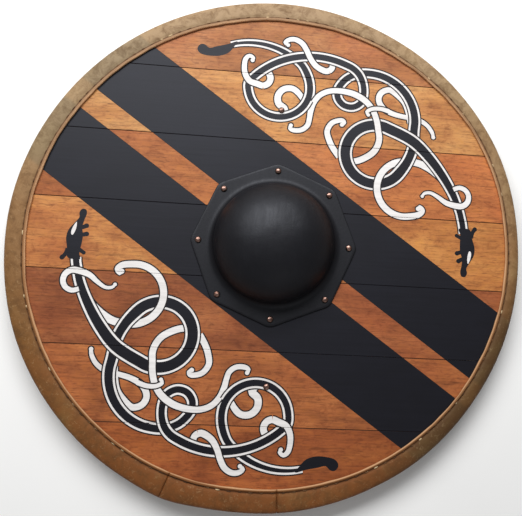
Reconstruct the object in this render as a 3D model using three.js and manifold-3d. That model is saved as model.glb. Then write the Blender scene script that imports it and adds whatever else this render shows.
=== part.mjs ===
// A round wooden shield of the Viking kind, in millimetres, +Z up.
//
// Seven boards are glued edge to edge into a disc with a round hand hole in its middle, so that
// the middle board is left in two pieces. A domed steel boss with an eight-cornered flange covers
// the hole on the face, and a wooden grip bar crosses it on the back. Ten copper rivets with roves
// hold them: eight at the flange's corners, two of which also go through the bar, and two more
// through boards and bar further out. A leather edging in two strips is folded over the rim.
//
// The shield lies face up on the grip bar. X runs along the boards, Y across them and along the
// bar, and the origin is the middle of the bar's flat underside.
import * as THREE from 'three';
import { mergeVertices } from 'three/addons/utils/BufferGeometryUtils.js';
import Module from 'manifold-3d';

const wasm = await Module();
wasm.setup();

// Driving dimensions
const BOARD_WIDTH = 89;
const BOARD_COUNT = 7;
const BOARD_THICKNESS = 10;
const DISC_RADIUS = 321.5;
const HAND_HOLE_RADIUS = 62;
const FIT_GAP = 0.3;

const BAR_LENGTH = 400;
const BAR_WIDTH = 36;
const BAR_THICKNESS = 18;
const BAR_GRIP_WIDTH = 31;
const BAR_GRIP_HALF_LENGTH = 52;

const DOME_RADIUS = 77;
const DOME_HEIGHT = 60;
const DOME_FILLET = 8;
const FLANGE_CORNER_RADIUS = 104;
const FLANGE_CORNER_ROUNDING = 7;
const BOSS_SHEET = 1.8;

const BOSS_RIVET_COUNT = 8;
const BOSS_RIVET_CIRCLE = 93.7;
const OUTER_RIVET_DISTANCE = 175;
const SHANK_RADIUS = 1.8;
const HEAD_RADIUS = 3.9;
const HEAD_HEIGHT = 2.6;
const ROVE_RADIUS = 5.5;
const ROVE_THICKNESS = 1.2;
const PEEN_RADIUS = 2.9;
const PEEN_HEIGHT = 1.4;
const COUNTERBORE_RADIUS = 7.5;
const COUNTERBORE_DEPTH = 4.6;

const LEATHER = 2.4;
const LIP_RADIUS = 298;
const LIP_RISE = 1.1;
const STITCH_GROOVE_RADIUS = 303.4;
const STITCH_GROOVE_DEPTH = 0.9;
const JOINT_NEAR_ANGLE = -86.3;
const JOINT_FAR_ANGLE = -111;
const JOINT_GAP = 0.5;

const RIM_SIDES = 96;
const DOME_SIDES = 48;
const SMALL_SIDES = 10;

// Levels above the surface that the bar lies on
const BACK_Z = BAR_THICKNESS + FIT_GAP;
const FACE_Z = BACK_Z + BOARD_THICKNESS;
const FLANGE_TOP_Z = FACE_Z + FIT_GAP + BOSS_SHEET;

const WOOD = new THREE.MeshStandardMaterial({ color: 0xb8703a, roughness: 0.6, metalness: 0 });
const BAR_WOOD = new THREE.MeshStandardMaterial({ color: 0x9a6a40, roughness: 0.7, metalness: 0 });
const BLACK_STEEL = new THREE.MeshStandardMaterial({ color: 0x1c1c1e, roughness: 0.45, metalness: 0.3 });
const COPPER = new THREE.MeshStandardMaterial({ color: 0xb5795a, roughness: 0.35, metalness: 1 });
const RIM_LEATHER = new THREE.MeshStandardMaterial({ color: 0x8d7244, roughness: 0.75, metalness: 0 });

const shield = new THREE.Group();

function addPiece(name, geometry, material) {
  const mesh = new THREE.Mesh(geometry, material);
  mesh.name = name;
  shield.add(mesh);
}

// Solids and booleans

function toSolid(geometry) {
  const bare = geometry.clone();
  bare.deleteAttribute('normal');
  bare.deleteAttribute('uv');
  const merged = mergeVertices(bare, 1e-4);
  return new wasm.Manifold(new wasm.Mesh({
    numProp: 3,
    vertProperties: new Float32Array(merged.attributes.position.array),
    triVerts: new Uint32Array(merged.index.array),
  }));
}

function toGeometry(solid) {
  const mesh = solid.getMesh();
  const geometry = new THREE.BufferGeometry();
  geometry.setAttribute('position', new THREE.BufferAttribute(new Float32Array(mesh.vertProperties), 3));
  geometry.setIndex(new THREE.BufferAttribute(new Uint32Array(mesh.triVerts), 1));
  geometry.computeVertexNormals();
  return geometry;
}

function uprightCylinder(radius, lowZ, highZ, sides, x = 0, y = 0) {
  const geometry = new THREE.CylinderGeometry(radius, radius, highZ - lowZ, sides);
  geometry.rotateX(Math.PI / 2);
  geometry.translate(x, y, (lowZ + highZ) / 2);
  return toSolid(geometry);
}

function block(lowX, highX, lowY, highY, lowZ, highZ) {
  const geometry = new THREE.BoxGeometry(highX - lowX, highY - lowY, highZ - lowZ);
  geometry.translate((lowX + highX) / 2, (lowY + highY) / 2, (lowZ + highZ) / 2);
  return toSolid(geometry);
}

// A closed lathe about Z from [radius, height] pairs that start and end on the axis.
function turned(profile, sides) {
  const points = profile.map(([radius, height]) => new THREE.Vector2(radius, height));
  return new THREE.LatheGeometry(points, sides).rotateX(Math.PI / 2);
}

// A closed skin through rings of points, all of one count, with flat caps on the first and last.
function lofted(rings, capOutline) {
  const count = rings[0].length;
  const positions = rings.flat(2);
  const triangles = [];
  for (let ring = 0; ring + 1 < rings.length; ring += 1) {
    for (let i = 0; i < count; i += 1) {
      const a = ring * count + i;
      const b = ring * count + ((i + 1) % count);
      triangles.push(a, b, b + count, a, b + count, a + count);
    }
  }
  const last = (rings.length - 1) * count;
  for (const [a, b, c] of THREE.ShapeUtils.triangulateShape(capOutline, [])) {
    triangles.push(c, b, a, last + a, last + b, last + c);
  }
  const geometry = new THREE.BufferGeometry();
  geometry.setAttribute('position', new THREE.Float32BufferAttribute(positions, 3));
  geometry.setIndex(triangles);
  geometry.computeVertexNormals();
  return geometry;
}

// Rivets: where each one stands, and what it goes through

const bossRivets = [];
for (let i = 0; i < BOSS_RIVET_COUNT; i += 1) {
  const angle = Math.PI / 2 - (i * 2 * Math.PI) / BOSS_RIVET_COUNT;
  const x = BOSS_RIVET_CIRCLE * Math.cos(angle);
  const y = BOSS_RIVET_CIRCLE * Math.sin(angle);
  bossRivets.push({ name: `boss_rivet_${i + 1}`, x, y, headZ: FLANGE_TOP_Z, throughBar: Math.abs(x) < 1 });
}
const barRivets = [
  { name: 'bar_rivet_top', x: 0, y: OUTER_RIVET_DISTANCE, headZ: FACE_Z, throughBar: true },
  { name: 'bar_rivet_bottom', x: 0, y: -OUTER_RIVET_DISTANCE, headZ: FACE_Z, throughBar: true },
];
const rivets = [...bossRivets, ...barRivets];

function drill(solid, lowZ, highZ, holes = rivets) {
  return holes.reduce((left, rivet) => left.subtract(
    uprightCylinder(SHANK_RADIUS + FIT_GAP, lowZ, highZ, SMALL_SIDES, rivet.x, rivet.y)), solid);
}

function addRivet({ name, x, y, headZ, throughBar }) {
  const roveTopZ = (throughBar ? COUNTERBORE_DEPTH : BACK_Z) - FIT_GAP;
  const tailZ = roveTopZ - ROVE_THICKNESS - FIT_GAP;
  const headBaseZ = headZ + FIT_GAP;
  const rivet = turned([
    [0, tailZ - PEEN_HEIGHT],
    [PEEN_RADIUS * 0.7, tailZ - PEEN_HEIGHT * 0.8],
    [PEEN_RADIUS, tailZ],
    [SHANK_RADIUS, tailZ],
    [SHANK_RADIUS, headBaseZ],
    [HEAD_RADIUS, headBaseZ],
    [HEAD_RADIUS * 0.85, headBaseZ + HEAD_HEIGHT * 0.55],
    [HEAD_RADIUS * 0.45, headBaseZ + HEAD_HEIGHT * 0.92],
    [0, headBaseZ + HEAD_HEIGHT],
  ], SMALL_SIDES);
  addPiece(name, rivet.translate(x, y, 0), COPPER);

  const rove = uprightCylinder(ROVE_RADIUS, roveTopZ - ROVE_THICKNESS, roveTopZ, SMALL_SIDES, x, y);
  const bored = drill(rove, roveTopZ - 2 * ROVE_THICKNESS, roveTopZ + ROVE_THICKNESS, [{ x, y }]);
  addPiece(name.replace('rivet', 'rove'), toGeometry(bored), COPPER);
}

// Boards: strips of one disc, cut by the hand hole

function addBoards() {
  const whole = uprightCylinder(DISC_RADIUS, BACK_Z, FACE_Z, RIM_SIDES);
  const handHole = uprightCylinder(HAND_HOLE_RADIUS, BACK_Z - 1, FACE_Z + 1, DOME_SIDES);
  const disc = drill(whole.subtract(handHole), BACK_Z - 1, FACE_Z + 1);
  const reach = DISC_RADIUS + 1;
  const middle = (BOARD_COUNT - 1) / 2;
  for (let i = 0; i < BOARD_COUNT; i += 1) {
    const row = middle - i;
    const highY = i === 0 ? reach : (row + 0.5) * BOARD_WIDTH - FIT_GAP / 2;
    const lowY = i === BOARD_COUNT - 1 ? -reach : (row - 0.5) * BOARD_WIDTH + FIT_GAP / 2;
    const halves = row === 0
      ? [['_left', -reach, 0], ['_right', 0, reach]]
      : [['', -reach, reach]];
    for (const [side, lowX, highX] of halves) {
      const strip = block(lowX, highX, lowY, highY, BACK_Z - 1, FACE_Z + 1);
      addPiece(`board_${i + 1}${side}`, toGeometry(disc.intersect(strip)), WOOD);
    }
  }
}

// Boss: a dome of sheet steel with a turned-out flange, trimmed to eight corners

function domeProfile(offset, flangeReach) {
  const profile = [];
  const crown = DOME_HEIGHT - DOME_FILLET - offset;
  const radius = DOME_RADIUS - offset;
  for (let degrees = 90; degrees > 0; degrees -= 15) {
    const angle = THREE.MathUtils.degToRad(degrees);
    profile.push([degrees === 90 ? 0 : radius * Math.cos(angle), DOME_FILLET + crown * Math.sin(angle)]);
  }
  for (let degrees = 180; degrees <= 270; degrees += 30) {
    const angle = THREE.MathUtils.degToRad(degrees);
    const fillet = DOME_FILLET + offset;
    profile.push([DOME_RADIUS + DOME_FILLET + fillet * Math.cos(angle), DOME_FILLET + fillet * Math.sin(angle)]);
  }
  profile.push([flangeReach, -offset]);
  return profile;
}

function flangeOutline() {
  const outline = new THREE.Shape();
  const corner = (i) => {
    const angle = (i * 2 * Math.PI) / BOSS_RIVET_COUNT;
    return new THREE.Vector2(Math.cos(angle), Math.sin(angle)).multiplyScalar(FLANGE_CORNER_RADIUS);
  };
  for (let i = 0; i < BOSS_RIVET_COUNT; i += 1) {
    const here = corner(i);
    const before = here.clone().add(corner(i - 1).sub(here).setLength(FLANGE_CORNER_ROUNDING));
    const after = here.clone().add(corner(i + 1).sub(here).setLength(FLANGE_CORNER_ROUNDING));
    if (i === 0) outline.moveTo(before.x, before.y);
    else outline.lineTo(before.x, before.y);
    outline.quadraticCurveTo(here.x, here.y, after.x, after.y);
  }
  outline.closePath();
  return outline;
}

function addBoss() {
  const reach = FLANGE_CORNER_RADIUS + 2;
  const outside = domeProfile(0, reach);
  const inside = domeProfile(BOSS_SHEET, reach).reverse();
  const shell = toSolid(turned([...outside, ...inside].reverse(), DOME_SIDES).translate(0, 0, FLANGE_TOP_Z));
  const depth = DOME_HEIGHT + 2 * BOSS_SHEET + 2;
  const trim = new THREE.ExtrudeGeometry(flangeOutline(), { depth, bevelEnabled: false, curveSegments: 3 });
  trim.translate(0, 0, FLANGE_TOP_Z - BOSS_SHEET - 1);
  const trimmed = shell.intersect(toSolid(trim));
  addPiece('boss', toGeometry(drill(trimmed, FACE_Z, FLANGE_TOP_Z + 1, bossRivets)), BLACK_STEEL);
}

// Grip bar: flat against the boards and under its ends, rounder and slimmer in the hand

function barSection(width, thickness, upperRounding, lowerRounding) {
  const half = width / 2;
  const top = BAR_THICKNESS;
  const bottom = BAR_THICKNESS - thickness;
  const section = [];
  const corner = (signX, z, inward, rounding, degreesList) => {
    for (const degrees of degreesList) {
      const angle = THREE.MathUtils.degToRad(degrees);
      section.push([
        signX * (half - rounding) + rounding * Math.cos(angle),
        z + inward * rounding + rounding * Math.sin(angle),
      ]);
    }
  };
  corner(1, bottom, 1, lowerRounding, [-90, -45, 0]);
  corner(1, top, -1, upperRounding, [0, 45, 90]);
  corner(-1, top, -1, upperRounding, [90, 135, 180]);
  corner(-1, bottom, 1, lowerRounding, [180, 225, 270]);
  return section;
}

function addGripBar() {
  const half = BAR_LENGTH / 2;
  const grip = BAR_GRIP_HALF_LENGTH;
  const stations = [
    [0, BAR_GRIP_WIDTH, BAR_THICKNESS, 6, 7],
    [grip * 0.75, BAR_GRIP_WIDTH, BAR_THICKNESS, 6, 7],
    [grip + 16, BAR_WIDTH, BAR_THICKNESS, 1, 4],
    [half - 16, BAR_WIDTH, BAR_THICKNESS, 1, 4],
    [half - 5, BAR_WIDTH - 4, BAR_THICKNESS - 4, 1, 4],
    [half, BAR_WIDTH - 12, BAR_THICKNESS - 9, 1, 3],
  ];
  const mirrored = stations.slice(1).reverse().map(([y, ...rest]) => [-y, ...rest]);
  const rings = [...mirrored, ...stations]
    .map(([y, ...shape]) => barSection(...shape).map(([x, z]) => [x, y, z]))
    .reverse();
  const cap = rings[0].map(([x, , z]) => new THREE.Vector2(x, z));
  let bar = toSolid(lofted(rings, cap));
  const throughBar = rivets.filter((rivet) => rivet.throughBar);
  for (const { x, y } of throughBar) {
    bar = bar.subtract(uprightCylinder(COUNTERBORE_RADIUS, -1, COUNTERBORE_DEPTH, 2 * SMALL_SIDES, x, y));
  }
  addPiece('grip_bar', toGeometry(drill(bar, -1, BAR_THICKNESS + 1, throughBar)), BAR_WOOD);
}

// Leather edging: one folded section swept round the disc, in two strips

function leatherSection() {
  const inner = DISC_RADIUS + FIT_GAP;
  const outer = inner + LEATHER;
  const faceZ = FACE_Z + FIT_GAP;
  const backZ = BACK_Z - FIT_GAP;
  const topZ = faceZ + LEATHER;
  const bottomZ = backZ - LEATHER;
  return [
    [LIP_RADIUS, faceZ],
    [inner, faceZ],
    [inner, backZ],
    [LIP_RADIUS, backZ],
    [LIP_RADIUS, bottomZ + 0.6],
    [LIP_RADIUS + 1, bottomZ],
    [outer - 5, bottomZ],
    [outer - 1.4, bottomZ + 1.8],
    [outer, bottomZ + 5],
    [outer, topZ - 5],
    [outer - 1.4, topZ - 1.8],
    [outer - 5, topZ],
    [STITCH_GROOVE_RADIUS + 2.4, topZ],
    [STITCH_GROOVE_RADIUS, topZ - STITCH_GROOVE_DEPTH],
    [LIP_RADIUS + 3.2, topZ + LIP_RISE * 0.8],
    [LIP_RADIUS + 1, topZ + LIP_RISE],
  ];
}

function addRimStrip(name, startDegrees, endDegrees) {
  const section = leatherSection();
  const halfJoint = THREE.MathUtils.radToDeg(JOINT_GAP / 2 / DISC_RADIUS);
  const start = startDegrees + halfJoint;
  const end = endDegrees - halfJoint;
  const step = 360 / RIM_SIDES;
  const angles = [start];
  for (let i = Math.ceil(start / step); i * step < end; i += 1) {
    angles.push(i * step);
  }
  angles.push(end);
  const rings = angles.map((degrees) => {
    const angle = THREE.MathUtils.degToRad(degrees);
    return section.map(([radius, z]) => [radius * Math.cos(angle), radius * Math.sin(angle), z]);
  }).reverse();
  const cap = section.map(([radius, z]) => new THREE.Vector2(radius, z));
  addPiece(name, lofted(rings, cap), RIM_LEATHER);
}

addBoards();
addBoss();
addGripBar();
rivets.forEach(addRivet);
addRimStrip('rim_strip_long', JOINT_NEAR_ANGLE, JOINT_FAR_ANGLE + 360);
addRimStrip('rim_strip_short', JOINT_FAR_ANGLE, JOINT_NEAR_ANGLE);

export default shield;
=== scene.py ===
"""The looks of a round wooden shield: painted boards, black boss, sewn leather edging.

Sizes below are in millimetres, like the part's own, and become metres when a mesh is made. Only
the shaders and the lights are in metres throughout.
X runs along the boards, Y up the shield and along the grip bar, and Z out of the painted face.
"""

import math
import random

import bmesh
import bpy
from mathutils import Matrix, Vector, noise
from mathutils.geometry import convex_hull_2d, delaunay_2d_cdt


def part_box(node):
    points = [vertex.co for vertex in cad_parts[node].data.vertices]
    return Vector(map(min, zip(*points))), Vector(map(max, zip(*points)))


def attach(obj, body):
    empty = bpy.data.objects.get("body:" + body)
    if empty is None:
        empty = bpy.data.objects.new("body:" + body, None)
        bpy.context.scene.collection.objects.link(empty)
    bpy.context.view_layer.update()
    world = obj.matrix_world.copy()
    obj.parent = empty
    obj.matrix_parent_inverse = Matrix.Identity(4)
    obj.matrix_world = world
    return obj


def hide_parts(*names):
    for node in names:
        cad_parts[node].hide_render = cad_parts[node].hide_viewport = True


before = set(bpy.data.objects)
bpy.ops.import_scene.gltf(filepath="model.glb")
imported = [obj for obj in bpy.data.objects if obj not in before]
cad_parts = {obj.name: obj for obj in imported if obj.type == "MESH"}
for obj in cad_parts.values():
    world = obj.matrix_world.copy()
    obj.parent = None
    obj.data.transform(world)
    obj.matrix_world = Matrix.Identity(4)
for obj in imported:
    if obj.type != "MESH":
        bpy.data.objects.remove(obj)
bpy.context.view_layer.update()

MM = 0.001


def box_mm(node):
    """Lowest and highest corner of a CAD node, in millimetres."""
    low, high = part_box(node)
    return low / MM, high / MM


def axis_of(node):
    """Where a rivet or rove sits, (x, y) to a tenth of a millimetre."""
    low, high = box_mm(node)
    return round((low.x + high.x) / 2, 1), round((low.y + high.y) / 2, 1)


BOARDS = sorted(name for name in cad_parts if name.startswith("board_"))
BOSS_RIVETS = sorted(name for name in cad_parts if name.startswith("boss_rivet_"))
BAR_RIVETS = sorted(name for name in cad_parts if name.startswith("bar_rivet_"))

BACK_Z = box_mm("board_2")[0].z
FACE_Z = box_mm("board_2")[1].z
DISC_RADIUS = math.hypot(box_mm("board_3")[1].x, box_mm("board_3")[0].y)
HAND_HOLE_RADIUS = 62
DRILL_RADIUS = 2.1
EASED_EDGE = 0.45
SEAM_PRESS = 0.12
CLEARANCE = 0.3

RIM_OUTER = box_mm("rim_strip_long")[1].x
RIM_TOP = box_mm("rim_strip_long")[1].z
RIM_STEP_DEGREES = 0.42
LIP_RADIUS = 298
LIP_RISE = 1.1
EDGING_HEIGHT = RIM_TOP - FACE_Z - LIP_RISE
STITCH_RADIUS = 302.9
STITCH_SPACING = 13
STITCH_LENGTH = 6.4
STITCH_THICKNESS = 0.62
STITCH_SINK = 0.6
STITCH_MARGIN_DEGREES = 0.3
JOINT_NEAR_ANGLE = -86.3
JOINT_FAR_ANGLE = -111
JOINT_GAP = 0.5
JOINT_FALL = 0.9
JOINT_FALL_LENGTH = 2.2

# How far the hand-cut edge and the sewn lip stray from their circles, every 30 degrees from +X,
# and one bulge of the edge
EDGE_SHIFTS = -7.5, -2.5, -1.8, -0.3, -0.8, -1.0, 0.3, 2.5, 3.8, -0.8, -3.8, -7.0
LIP_SHIFTS = -1.5, 2.5, -0.7, -2.2, -1.8, -1.7, -0.5, 0.1, -0.9, -4.3, -3.9, -3.3
BULGE = 2.6
BULGE_ANGLE = 250
BULGE_SPREAD = 6

BOSS_BASE_Z = box_mm("boss")[0].z
BOSS_TOP_Z = box_mm("boss")[1].z
BOSS_SHEET = 1.8
DOME_RADIUS = 74
DOME_FILLET = 10
FLANGE_CORNER_RADIUS = 104
BOSS_SIDES = 240

HEAD_RADIUS = 3.9
HEAD_HEIGHT = 2.6
HEAD_LIP = 0.35
SHANK_RADIUS = 1.8
PEEN_RADIUS = 2.9
PEEN_HEIGHT = 1.4
ROVE_RADIUS = 5.5

COUNTERBORE_RADIUS = 7.5
COUNTERBORE_DEPTH = 4.6

BAND_ANGLE = -35
BAND_GAP = 32
BAND_WIDTH = 88
BAND_SHIFT = 2
BAND_LINE = 0.7
BAND_SPILL = 20

WHITE_EDGE = 2.4
DARK_LINE = 1.6
RIBBON_STEP = 2.4
OUTLINE_STEP = 2.5
TUFT_STEP = 1.5
EYE_STEP = 1.2
CONTROL_DEGREES = 40
CONTROL_SPACING = 13


# Paths and outlines in the plane of the face


def polar(reach, angle):
    """The (x, y) at that distance and that angle in radians."""
    return reach * math.cos(angle), reach * math.sin(angle)


def even_angles(count):
    return [2 * math.pi * i / count for i in range(count)]


def turn(centre, radius, start, stop, widths, end_radius=None):
    """Control points (x, y, width) round a centre, from one angle to the other in degrees."""
    end_radius = radius if end_radius is None else end_radius
    swept = abs(stop - start)
    spans = max(round(swept / CONTROL_DEGREES), round(math.radians(swept) * radius / CONTROL_SPACING))
    count = 1 + max(1, spans)
    points = []
    for i in range(count):
        share = i / (count - 1)
        angle = math.radians(start + (stop - start) * share)
        reach = radius + (end_radius - radius) * share
        width = widths[0] + (widths[1] - widths[0]) * share
        x, y = polar(reach, angle)
        points.append((centre[0] + x, centre[1] + y, width))
    return points


def smooth(controls, step):
    """A Catmull-Rom curve through the controls, and the index in it of each control."""
    points, places = [], []
    last = len(controls) - 1
    for i in range(last):
        before, here = Vector(controls[max(i - 1, 0)]), Vector(controls[i])
        after, beyond = Vector(controls[i + 1]), Vector(controls[min(i + 2, last)])
        count = max(2, math.ceil((after.xy - here.xy).length / step))
        places.append(len(points))
        for k in range(count):
            t = k / count
            points.append(0.5 * (2 * here + (after - before) * t
                                 + (2 * before - 5 * here + 4 * after - beyond) * t * t
                                 + (3 * here - before - 3 * after + beyond) * t ** 3))
    places.append(len(points))
    points.append(Vector(controls[last]))
    return points, places


def nearest(controls, spot):
    """The index of the control nearest to the spot."""
    return min(range(len(controls)), key=lambda i: math.dist(controls[i][:2], spot[:2]))


def ribbon_quads(points, extra):
    """Convex steps along a path, each as wide as the path there plus extra on both sides."""
    left, right = [], []
    for i, here in enumerate(points):
        along = (points[min(i + 1, len(points) - 1)] - points[max(i - 1, 0)]).xy.normalized()
        across = Vector((-along.y, along.x)) * (here.z / 2 + extra)
        left.append(here.xy + across)
        right.append(here.xy - across)
    steps = [[left[i], right[i], right[i + 1], left[i + 1]] for i in range(len(points) - 1)]
    return [[step[k] for k in convex_hull_2d(step)] for step in steps]


def disc(x, y, radius, sides=16):
    """The outline of a disc, from its point on +X on."""
    return [Vector((x + dx, y + dy)) for dx, dy in (polar(radius, a) for a in even_angles(sides))]


def astray(angle, shifts):
    """How far the edge or the lip strays from its circle here, from its shifts every 30 degrees."""
    step, part = divmod(angle % 360 / 30, 1)
    before, after = shifts[int(step)], shifts[(int(step) + 1) % 12]
    return before + (after - before) * part * part * (3 - 2 * part)


def closed_outline(controls, step=OUTLINE_STEP):
    """A smooth closed outline through the controls."""
    wrapped = [(x, y, 0) for x, y in controls[-2:] + controls + controls[:2]]
    points, places = smooth(wrapped, step)
    return [p.xy for p in points[places[2]:places[-2]]]


# The painting: two bands and a pair of ribbon beasts, as layers from the bottom up

# The last is a dark brown coat on the boards' bare eased edges and sides: painted shade between the boards.
WOOD, BLACK, WHITE, LINE, SEAM_SHADE = range(5)

# Each path is a list of (x, y, width of the ribbon there)
BODY_NECK = [
    (242, 28, 7.5), (240.5, 40, 7.5), (238.6, 48.5, 7.5), (236, 58, 7.5), (228, 78, 8.5), (214.5, 101, 10),
    (195, 126, 11.5), (172, 147, 12.5),
]
BODY_LOOP = turn((124, 125.5), 39.3, 65, 325, (12.8, 12))
BODY_ARM = [
    (166.5, 119, 10.5), (173, 138, 10), *turn((112, 172), 63, -10, 90, (10, 8.5)),
    (101, 234, 8.5), (90, 230, 8), (80, 222.5, 8),
]
BODY_RING = turn((88.5, 204), 17.5, 160, 365, (8, 7.5))
BODY_ARCH = [
    (104.8, 219, 7.5), (99.8, 231, 8), (91.2, 239.6, 8.3), *turn((41, 144), 108, 69, 135, (8.5, 8)),
]
BODY_CURL = turn((-4.5, 206), 40, 175, 370, (7.5, 8))
BODY_TAIL = [(31, 226, 8), *turn((-40, 172), 92, 46, 109, (7.5, 3.5))]
BODY = [*BODY_NECK, *BODY_LOOP, *BODY_ARM, *BODY_RING, *BODY_ARCH, *BODY_CURL, *BODY_TAIL]
LOOP_END, RING_END, CURL_END = BODY_LOOP[-1], BODY_RING[-1], BODY_CURL[-1]

NECK_CURL = [
    (187, 74, 3), (190, 78, 3.8), (198, 79, 4.2), (208, 74, 5.2), (219, 67, 6.6),
    *turn((236, 76), 12.5, 255, 490, (7.5, 5.5)),
]
THROAT = [
    (211, 96, 3), (203, 105, 7), (192, 113, 9), (178, 118, 9),
    *turn((164, 82), 36.5, 100, 285, (8.5, 8)),
    (183, 49.5, 7.5), (188, 55, 6), (184, 60, 4.5), (182, 57, 4),
]
SIDE_HOOK = [
    (77, 119, 8), (69, 129, 7.5), *turn((78, 150), 18, 215, 90, (7.5, 6)), (82, 165, 5), (79, 162, 4),
]
LONG = [
    (86, 112.5, 7.5), (102, 115.5, 8),
    *turn((98, 148), 30.5, -50, 20, (8, 7.5)),
    (124, 172, 7.5), (118, 186, 7.5), (108, 197, 8), (94, 204.5, 8), (78, 207.5, 7.5),
    (62, 206.5, 7), (49, 200, 7), (41, 189, 7), (37.5, 177, 7),
    *turn((20, 166), 16.5, 5, -100, (6.5, 6)), (12, 152, 5), (13, 156, 4),
]
TEARDROP = [
    (168, 170, 5), (165, 186, 6), (159, 200, 7), *turn((139, 201), 13, 70, 215, (7.5, 7.5)),
    (136, 186, 7), (149, 181, 6.5), (164, 178.5, 6), (180, 176, 6), (191, 170, 5.5), (198, 161, 5),
    (200, 154, 4),
]
SPUR = [(140, 185, 6), (129, 187.5, 5.5), (118, 186.5, 5), (111, 182, 4.5), (113, 178, 3.5)]
TOP_CURL = [
    (4, 265, 3.5), (0, 268, 5), (5, 272.5, 6), (13, 273.5, 6.5), (22, 269, 7), (28.5, 260, 7), (34, 249, 7),
    (42, 239, 7.5), *turn((56, 242), 9, 250, 450, (8, 6.5), 6),
]
RING = [(30, 187, 5), *turn((9, 191), 15, 35, 250, (7.5, 9)), (-3, 167.5, 7)]
END_HOOK = [
    (-41, 240, 3), (-40, 243, 4.5), (-45, 246, 5), (-50, 241, 6), (-51, 230, 6.5), (-49, 220, 7),
    (-43, 211.5, 7.5), *turn((-27, 217), 10.5, 235, 445, (8, 8)),
]

# Drawn from the bottom up: a path, the spots near which the stretch starts and ends (None at the
# path's own ends), and its end knobs
BEAST = [
    (TEARDROP, None, None, (None, 2.6)),
    (THROAT, None, (142, 111), ()),
    (SIDE_HOOK, None, None, (None, 2.8)),
    (LONG, (41, 189), None, (None, 2.6)),
    (RING, None, None, ()),
    (BODY, LOOP_END, RING_END, ()),
    (BODY, CURL_END, None, ()),
    (LONG, None, (127, 140), ()),
    (TOP_CURL, (58, 233), None, ()),
    (END_HOOK, (-27, 206), None, ()),
    (BODY, None, LOOP_END, ()),
    (BODY, RING_END, CURL_END, ()),
    (LONG, (127, 140), (41, 189), ()),
    (SPUR, None, None, (None, 2.4)),
    (THROAT, (142, 111), None, (None, 3)),
    (NECK_CURL, None, None, (2.2, None)),
    (TOP_CURL, None, (58, 233), (2.6, None)),
    (END_HOOK, None, (-27, 206), (2.6, None)),
]

HEAD = [
    (236, 34), (238, 26), (237.5, 14), (238, 4), (240.5, -5), (240, -14), (238.5, -22), (240, -27.5),
    (245, -28), (247.5, -23), (246.5, -17), (251, -9), (256, 0), (257, 10), (254.5, 19), (252.5, 27),
    (250, 34),
]
EYE = [(250, 5.5), (248, 0), (247.5, -6), (248.5, -11), (251, -6), (252.5, 0), (252, 4.5)]
HEAD_TUFTS = [
    [(252, 23, 6), (254, 30, 5), (257, 34.5, 5.5)],
    [(239, 22, 5), (233, 25, 4.5)],
    [(240, 4, 5), (234, 2, 5.5)],
    [(241, -5, 5), (236, -8, 5.5)],
]
TAIL = [
    (-62, 264), (-75, 259), (-88, 255), (-97, 252), (-103, 256), (-109, 256), (-112.5, 250), (-109, 244),
    (-100, 241.5), (-85, 242), (-73, 247), (-66, 256),
]

# The second beast is the first one turned about the shield's middle and shifted
SECOND_TURN = 174.3
SECOND_SHIFT = Vector((4.5, -5.5))
SECOND_HEAD_SHIFT = Vector((-2.2, 16.5))


def moved(outline, degrees, shift):
    """The outline turned about the shield's middle, then shifted."""
    turned = Matrix.Rotation(math.radians(degrees), 2)
    return [turned @ point + shift for point in outline]


def band_outline(low, high):
    """A band right across the shield, between those distances from the line through its middle."""
    along = Vector(polar(1, math.radians(BAND_ANGLE)))
    across = Vector((-along.y, along.x))
    reach = along * (DISC_RADIUS + BAND_SPILL)
    return [across * low - reach, across * low + reach, across * high + reach, across * high - reach]


def beast(neck_start, head_shift):
    """The layers of one beast, its head moved by the shift to where the neck starts."""
    layers = []
    for controls, first, last, knobs in BEAST:
        if controls is BODY and not first:
            first = neck_start
        points, places = smooth(controls, RIBBON_STEP)
        start = places[nearest(controls, first)] if first else 0
        stop = places[nearest(controls, last)] if last else len(points) - 1
        stretch = points[start:stop + 1]
        coats = [(WHITE_EDGE + DARK_LINE, LINE), (WHITE_EDGE, WHITE), (0, BLACK)]
        if controls is not BODY:
            coats = [(DARK_LINE, LINE), (0, WHITE)]
        for extra, paint in coats:
            layers += [(quad, paint) for quad in ribbon_quads(stretch, extra)]
            for end, knob in zip((stretch[0], stretch[-1]), knobs):
                if knob:
                    layers.append((disc(end.x, end.y, knob + extra), paint))
    head = [(closed_outline(HEAD), BLACK), (closed_outline(EYE, EYE_STEP), WHITE)]
    for tuft in HEAD_TUFTS:
        points, _ = smooth(tuft, TUFT_STEP)
        head += [(quad, BLACK) for quad in ribbon_quads(points, 0)]
        head.append((disc(points[-1].x, points[-1].y, 0.55 * points[-1].z, 12), BLACK))
    layers += [(moved(outline, 0, head_shift), paint) for outline, paint in head]
    layers.append((closed_outline(TAIL), BLACK))
    return layers


def painting():
    """Every layer of the painting as (outline, paint), later ones over earlier ones."""
    layers = []
    for side in (1, -1):
        near = side * BAND_GAP / 2 + BAND_SHIFT
        far = near + side * BAND_WIDTH
        low, high = min(near, far), max(near, far)
        layers.append((band_outline(low - BAND_LINE, high + BAND_LINE), LINE))
        layers.append((band_outline(low, high), BLACK))
    layers += beast(BODY_NECK[0], Vector((0, 0)))
    second = beast(BODY_NECK[2], SECOND_HEAD_SHIFT)
    layers += [(moved(outline, SECOND_TURN, SECOND_SHIFT), paint) for outline, paint in second]
    return layers


# Meshes


def add_object(name, data):
    thing = bpy.data.objects.new(name, data)
    bpy.context.scene.collection.objects.link(thing)
    return thing


def new_piece(name, vertices, faces, materials):
    """A smooth-shaded mesh object from millimetres, in the part's frame."""
    mesh = bpy.data.meshes.new(name)
    mesh.from_pydata([Vector(v) * MM for v in vertices], [], faces)
    for material in materials:
        mesh.materials.append(material)
    mesh.polygons.foreach_set("use_smooth", [True] * len(mesh.polygons))
    mesh.update()
    return add_object(name, mesh)


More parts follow.
